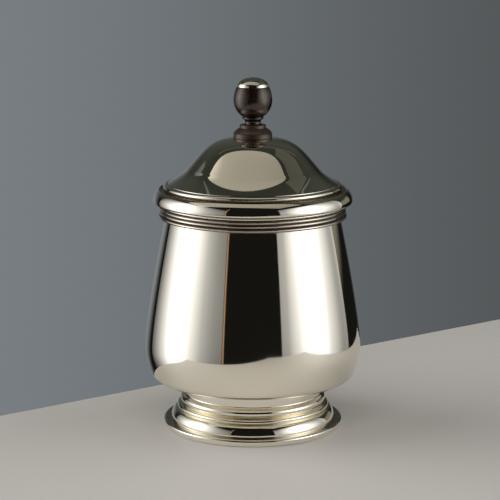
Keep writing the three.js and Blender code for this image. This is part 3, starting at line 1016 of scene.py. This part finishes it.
def tabletop():
    builder = bmesh.new()
    bmesh.ops.create_cube(builder, size=1.0)
    size = Vector((TABLE_RIGHT - TABLE_LEFT, TABLE_BACK - TABLE_FRONT, TABLE_THICKNESS)) * MM
    middle = Vector((TABLE_RIGHT + TABLE_LEFT, TABLE_BACK + TABLE_FRONT, -TABLE_THICKNESS)) * MM / 2
    bmesh.ops.scale(builder, vec=size, verts=builder.verts)
    bmesh.ops.translate(builder, vec=middle, verts=builder.verts)
    bmesh.ops.bevel(
        builder, geom=builder.edges, offset=1.2 * MM, segments=3, profile=0.5, affect="EDGES", material=-1,
    )
    turn = Matrix.Rotation(math.radians(TABLE_TURN), 3, "Z")
    bmesh.ops.rotate(builder, cent=MIDDLE, matrix=turn, verts=builder.verts)
    table = piece_from(builder, "tabletop")
    material = bpy.data.materials.new("pale_lacquered_board")
    paint = Paint(material)
    cloud = paint.noise(paint.place(), 9.0, 3.0)
    colour = paint.mix(cloud * 0.5, TABLE_COLOUR, tuple(c * 0.92 for c in TABLE_COLOUR))
    paint.surface({"Base Color": colour, "Roughness": 0.55})
    table.data.materials.append(material)


tabletop()

# Room, as the metal reflects it, and as the camera sees it behind the box
ROOM_COLOUR = (0.0075, 0.0075, 0.0065)
ROOM_UPPER = (0.03, 0.034, 0.028)
BEHIND_LEFT = (0.22, 0.24, 0.255)
BEHIND_RIGHT = (0.11, 0.12, 0.125)
BEHIND_HIGH = (0.055, 0.058, 0.05)
BEHIND_ASIDE = -0.156
ROOM_CORNER = (0.2, 0.185, 0.15)
CORNER_ASIDE = 0.731
# Painted light falloff on the backdrop: lighter on the left, nearer the left softbox, darker on the right
BACKDROP_LEFT = (0.195, 0.216, 0.232)
BACKDROP_RIGHT = (0.083, 0.091, 0.094)


def room():
    world = bpy.data.worlds.new("studio_room")
    bpy.context.scene.world = world
    paint = Paint(world)
    direction = paint.add("ShaderNodeTexCoord", output="Generated")
    parts = [paint.add("ShaderNodeSeparateXYZ", {}, {0: direction}, axis) for axis in "XYZ"]
    # The backdrop, painted lighter on the left and darker on the right as the left softbox lights it
    backdrop = paint.mix(paint.between(parts[0], -0.2, 0.2), BACKDROP_LEFT, BACKDROP_RIGHT)
    around = paint.mix(paint.between(parts[2], 0.1, 0.6), ROOM_COLOUR, ROOM_UPPER)
    around = paint.mix(paint.between(parts[1], -0.4, 0.3), ROOM_COLOUR, around)
    behind = parts[0] * BEHIND_ASIDE + parts[1] * math.sqrt(1 - BEHIND_ASIDE**2)
    high = paint.between(parts[2], 0.1, 0.6) * paint.between(parts[1], 0.3, 0.85)
    around = paint.mix(high, around, BEHIND_HIGH)
    wall = paint.mix(paint.between(parts[0], -0.25, 0.15), BEHIND_LEFT, BEHIND_RIGHT)
    fading = 1 - 0.8 * paint.between(parts[2], -0.1, 0.35)
    around = paint.mix(paint.between(behind, 0.83, 0.985) * fading, around, wall)
    level = (parts[0] * parts[0] + parts[1] * parts[1]) ** 0.5
    corner = parts[0] * CORNER_ASIDE + parts[1] * math.sqrt(1 - CORNER_ASIDE**2)
    corner = paint.between(corner.math("DIVIDE", level), 0.955, 0.985)
    lit = paint.between(parts[2], -0.07, -0.01) * (1 - paint.between(parts[2], 0.15, 0.3))
    around = paint.mix(corner * lit, around, ROOM_CORNER)
    seen = paint.add("ShaderNodeLightPath", output="Is Camera Ray")
    background = paint.add("ShaderNodeBackground", {}, {"Color": paint.mix(seen, around, backdrop)})
    paint.add("ShaderNodeOutputWorld", {}, {"Surface": background})


room()


def panel_lamp(name, width, height, across, upward, colour, bow):
    """A flat lamp whose brightness changes across its width and up its height.

    Across and upward hold pairs of a share, along the lamp's own X and Y, and the brightness there. The bow
    is how far its upper edge curves down towards its ends, as a share of its height.
    """
    peak = max(brightness for share, brightness in across)
    lamp = bpy.data.lights.new(name, "AREA")
    lamp.shape = "RECTANGLE"
    lamp.size = width
    lamp.size_y = height
    lamp.color = colour
    lamp.energy = peak * math.pi * width * height
    paint = Paint(lamp)
    spot = paint.add("ShaderNodeNewGeometry", output="Parametric")
    ramps = []
    shares = {axis: paint.add("ShaderNodeSeparateXYZ", {}, {0: spot}, axis) for axis in "XY"}
    for axis, stops, most in (("X", across, peak), ("Y", upward, 1.0)):
        greys = [(place, (brightness / most,) * 3) for place, brightness in stops]
        ramps.append(paint.add("ShaderNodeValToRGB", {"stops": greys}, {"Fac": shares[axis]}))
    aside = shares["X"] * 2 - 1
    past = paint.between(shares["Y"] + aside * aside * bow, 0.985, 1.0) if bow else 0.0
    lit = paint.mix(past, paint.mix(1.0, *ramps, "MULTIPLY"), (0.0, 0.0, 0.0))
    emission = paint.add("ShaderNodeEmission", {}, {"Color": lit})
    paint.add("ShaderNodeOutputLight", {}, {"Surface": emission})
    holder = bpy.data.objects.new(name, lamp)
    holder.visible_camera = False
    bpy.context.scene.collection.objects.link(holder)
    return holder


def standing_softbox(name, profile, rise, upward, distance, colour):
    """An upright lamp facing the box, given by its brightness in directions from the box.

    Directions are degrees round from the front towards +X. The rise is of its bottom and top, in degrees
    up, and the distance is in metres.
    """
    first, last = profile[0][0], profile[-1][0]
    middle = math.radians((first + last) / 2)
    half = math.radians((last - first) / 2)
    width = 2 * distance * math.tan(half)
    stops = []
    for direction, brightness in profile:
        aside = math.tan(math.radians(direction) - middle) / math.tan(half)
        stops.append(((1 + aside) / 2, brightness))
    low, high = (distance * math.tan(math.radians(angle)) for angle in rise)
    holder = panel_lamp(name, width, high - low, stops, upward, colour, 0)
    centre = (cad_low.z + cad_high.z + low + high) / 2
    holder.location = (distance * math.sin(middle), -distance * math.cos(middle), centre)
    holder.rotation_euler = (math.radians(90), 0, middle)
    return holder


def overhead_panel(name, profile, along, height, turn, colour, bow=0):
    """A level lamp over the box, turned about the axis by degrees.

    Its places across and its reach along are shares of its height over the box's middle.
    """
    first, last = profile[0][0], profile[-1][0]
    stops = [((share - first) / (last - first), brightness) for share, brightness in profile]
    width = (last - first) * height
    holder = panel_lamp(name, width, (along[1] - along[0]) * height, stops, EVEN, colour, bow)
    centre = (cad_low.z + cad_high.z) / 2 + height
    around = Matrix.Rotation(math.radians(turn), 3, "Z")
    aside = around @ Vector(((first + last) / 2 * height, sum(along) / 2 * height, 0))
    holder.location = aside + Vector((0, 0, centre))
    holder.rotation_euler = (0, 0, math.radians(turn))
    return holder


SOFTBOX_DISTANCE = 1.3
OVERHEAD_HEIGHT = 1.1
LEFT_RISE = (-38, 43)
RIGHT_RISE = (-32, 43)
SIDE_FILL_RISE = (20, 58)
FRONT_FILL_RISE = (38, 62)
WHITE = (1.0, 1.0, 1.02)
BEIGE = (1.0, 0.94, 0.82)
TAN = (1.0, 0.62, 0.34)
LEFT_PROFILE = [
    (-133, 0.16), (-130, 0.24), (-125, 0.4), (-118, 0.66), (-108, 1.15), (-100, 1.8),
    (-92, 2.2), (-84, 2.0), (-76, 1.65), (-69, 1.15), (-62, 0.82), (-56, 0.55),
    (-49.5, 0.41), (-43, 0.31), (-37, 0.26), (-32.4, 0.24),
]
EDGE_PROFILE = [(-31.6, 0.4), (-30.0, 0.4)]
RIGHT_PROFILE = [
    (30.4, 0.38), (38, 0.48), (44, 0.84), (50, 1.15), (60, 1.9), (70, 2.2), (80, 2.0), (91, 1.15),
    (99.5, 0.82), (108, 0.5), (113, 0.43), (118, 0.48), (121, 0.45),
]
OVERHEAD_PROFILE = [
    (-0.97, 0.7), (-0.825, 0.55), (-0.685, 0.39), (-0.545, 0.36),
    (-0.2, 0.33), (0.2, 0.315), (0.5, 0.285), (0.7135, 0.25),
]
CORNER_PROFILE = [(0.5, 0.05), (1.25, 0.05)]
LEFT_BAR_PROFILE = [(-0.695, 0.13), (0.561, 0.13)]
RIGHT_BAR_PROFILE = [(0.764, 0.13), (1.4, 0.13)]
SOFT_EDGES = [(0.0, 0.2), (0.26, 0.6), (0.4, 0.82), (0.54, 1.0), (0.7, 0.88), (0.87, 0.6), (1.0, 0.3)]
EVEN = [(0.0, 1.0), (1.0, 1.0)]
standing_softbox("left_softbox", LEFT_PROFILE, LEFT_RISE, SOFT_EDGES, SOFTBOX_DISTANCE, WHITE)
standing_softbox("left_edge_lamp", EDGE_PROFILE, LEFT_RISE, SOFT_EDGES, SOFTBOX_DISTANCE, TAN)
standing_softbox("right_softbox", RIGHT_PROFILE, RIGHT_RISE, SOFT_EDGES, SOFTBOX_DISTANCE, WHITE)
overhead_panel("overhead_panel", OVERHEAD_PROFILE, (-0.6, 0.23), OVERHEAD_HEIGHT, -12.5, BEIGE, 0.17)
overhead_panel("overhead_corner", CORNER_PROFILE, (-0.15, 0.5), OVERHEAD_HEIGHT, 12, BEIGE)
overhead_panel("left_bar", LEFT_BAR_PROFILE, (0.594, 0.624), OVERHEAD_HEIGHT, 5.5, BEIGE)
overhead_panel("right_bar", RIGHT_BAR_PROFILE, (0.304, 0.334), OVERHEAD_HEIGHT, 30.2, BEIGE)

# Light for the matt surfaces, which the metal doesn't mirror
for name, profile, rise in (
    ("left_fill", [(-125, 2.5), (-55, 2.5)], SIDE_FILL_RISE),
    ("right_fill", [(55, 1.9), (125, 1.9)], SIDE_FILL_RISE),
    ("front_fill", [(-35, 3.0), (35, 3.0)], FRONT_FILL_RISE),
):
    standing_softbox(name, profile, rise, EVEN, SOFTBOX_DISTANCE, WHITE).visible_glossy = False

# Camera, fitted to the rings of the box
CAMERA_DISTANCE = 0.865
CAMERA_HEIGHT = 0.2564
CAMERA_ASIDE = -0.00136
CAMERA_PITCH = 11.135
SENSOR = 36.0
LENS = 130.8


def camera():
    view = bpy.data.cameras.new("camera")
    view.sensor_width = SENSOR
    view.lens = LENS
    view.clip_start = 0.02
    view.clip_end = 20.0
    holder = bpy.data.objects.new("camera", view)
    holder.location = (CAMERA_ASIDE, -CAMERA_DISTANCE, CAMERA_HEIGHT)
    holder.rotation_euler = (math.radians(90 - CAMERA_PITCH), 0, 0)
    bpy.context.scene.collection.objects.link(holder)
    bpy.context.scene.camera = holder


camera()
bpy.context.scene.view_settings.view_transform = "Standard"
